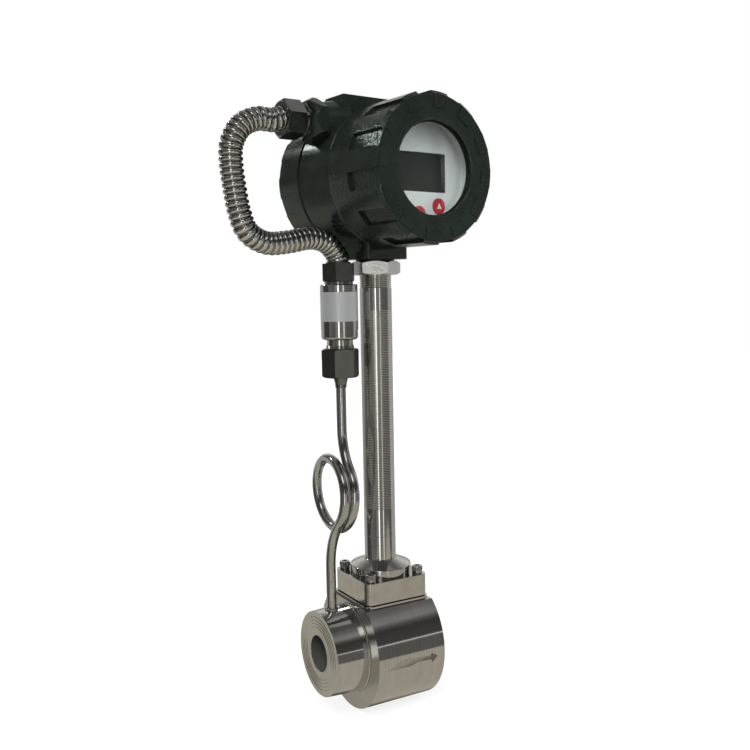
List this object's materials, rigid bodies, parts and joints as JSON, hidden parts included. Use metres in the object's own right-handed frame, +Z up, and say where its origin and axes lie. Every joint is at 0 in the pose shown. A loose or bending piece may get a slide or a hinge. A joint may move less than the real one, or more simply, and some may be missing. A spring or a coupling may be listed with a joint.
{
  "type": "flow meter",
  "caption": "Inline flow meter: turned flow tube, long neck with a round windowed display head, coiled siphon, pressure sensor and corrugated conduit hose",
  "frame": {"origin": "centre of the inlet joint face, on the bore's axis", "axes": "+X along the flow, +Z up the neck, +Y to complete the right-handed frame"},
  "size_m": [0.2024, 0.1474, 0.5021],
  "materials": {
    "turned_steel": "turned and polished stainless steel",
    "milled_steel": "fine milled stainless steel",
    "tube_steel": "drawn stainless steel, satin",
    "bright_zinc": "bright rough zinc plating",
    "screw_steel": "plain stainless screws",
    "nut_steel": "machined stainless nuts",
    "hose_steel": "corrugated bright steel",
    "gasket": "black sealing sheet",
    "seal": "black rubber",
    "ptfe": "white fluoropolymer",
    "lead": "black cable sleeve",
    "head_paint": "dark green-grey gloss paint on die casting",
    "cover_paint": "dark green-grey gloss paint on die casting",
    "window": "clear toughened glass",
    "ring_metal": "turned aluminium",
    "frame_plastic": "white plastic",
    "plate_plastic": "printed label film on plastic",
    "lcd": "liquid crystal display in a black tray",
    "key_red": "red plastic",
    "switch": "black plastic",
    "board": "green circuit board with parts",
    "brass": "plated brass",
    "terminal": "green plastic"
  },
  "bodies": {
    "meter": {"meter_body": "turned_steel", "inlet_hub": "turned_steel", "bluff_body": "milled_steel", "vortex_probe": "milled_steel", "probe_seal": "ptfe", "flange_gasket": "gasket", "neck_flange": "milled_steel", "neck_foot": "turned_steel", "neck_tube": "tube_steel", "neck_locknut": "bright_zinc", "neck_washer": "seal", "probe_lead": "lead", "siphon_tube": "tube_steel", "union_ferrule": "nut_steel", "union_nut": "nut_steel", "pressure_sensor": "turned_steel", "sensor_nut": "nut_steel", "hose_ferrule": "nut_steel", "conduit_hose": "hose_steel", "gland_nut": "nut_steel", "gland_body": "nut_steel", "housing_body": "head_paint", "display_frame": "frame_plastic", "face_plate": "plate_plastic", "lcd_module": "lcd", "display_board": "board", "amplifier_board": "board", "board_screws": "screw_steel", "terminal_block": "terminal", "terminal_screws": "screw_steel", "ground_screw": "brass", "flange_screw_1": "screw_steel", "spring_washer_1": "screw_steel", "flange_screw_2": "screw_steel", "spring_washer_2": "screw_steel", "flange_screw_3": "screw_steel", "spring_washer_3": "screw_steel", "flange_screw_4": "screw_steel", "spring_washer_4": "screw_steel", "key_switch_1": "switch", "board_pillar_1": "brass", "board_foot_1": "brass", "key_switch_2": "switch", "board_pillar_2": "brass", "board_foot_2": "brass", "key_switch_3": "switch", "board_pillar_3": "brass", "board_foot_3": "brass"},
    "front_seal": {"front_oring": "seal"},
    "front_cover": {"front_cover": "cover_paint", "window_glass": "window", "window_gasket": "seal", "window_ring": "ring_metal"},
    "rear_seal": {"rear_oring": "seal"},
    "rear_cover": {"rear_cover": "cover_paint"},
    "key_1": {"key_1": "key_red"},
    "key_2": {"key_2": "key_red"},
    "key_3": {"key_3": "key_red"}
  },
  "joints": [
    {"name": "front_cover_travel", "type": "slide", "parent": "meter", "child": "front_seal", "axis": [0.1028, -0.9947, 0], "range_m": [0, 0.0101]},
    {"name": "front_cover_turn", "type": "hinge", "parent": "front_seal", "child": "front_cover", "pos_m": [0.0606, 0, 0.3884], "axis": [0.1028, -0.9947, 0], "range_deg": [0, 1800]},
    {"name": "rear_cover_travel", "type": "slide", "parent": "meter", "child": "rear_seal", "axis": [-0.1028, 0.9947, 0], "range_m": [0, 0.0101]},
    {"name": "rear_cover_turn", "type": "hinge", "parent": "rear_seal", "child": "rear_cover", "pos_m": [0.0606, 0, 0.3884], "axis": [-0.1028, 0.9947, 0], "range_deg": [0, 1800]},
    {"name": "key_1_press", "type": "slide", "parent": "meter", "child": "key_1", "axis": [-0.1028, 0.9947, 0], "range_m": [0, 0.0006], "stiffness_N_per_m": 500},
    {"name": "key_2_press", "type": "slide", "parent": "meter", "child": "key_2", "axis": [-0.1028, 0.9947, 0], "range_m": [0, 0.0006], "stiffness_N_per_m": 500},
    {"name": "key_3_press", "type": "slide", "parent": "meter", "child": "key_3", "axis": [-0.1028, 0.9947, 0], "range_m": [0, 0.0006], "stiffness_N_per_m": 500}
  ],
  "couplings": [
    {"joint": "front_cover_travel", "follows": "front_cover_turn", "m_per_rad": 0.00031831},
    {"joint": "rear_cover_travel", "follows": "rear_cover_turn", "m_per_rad": 0.00031831}
  ]
}
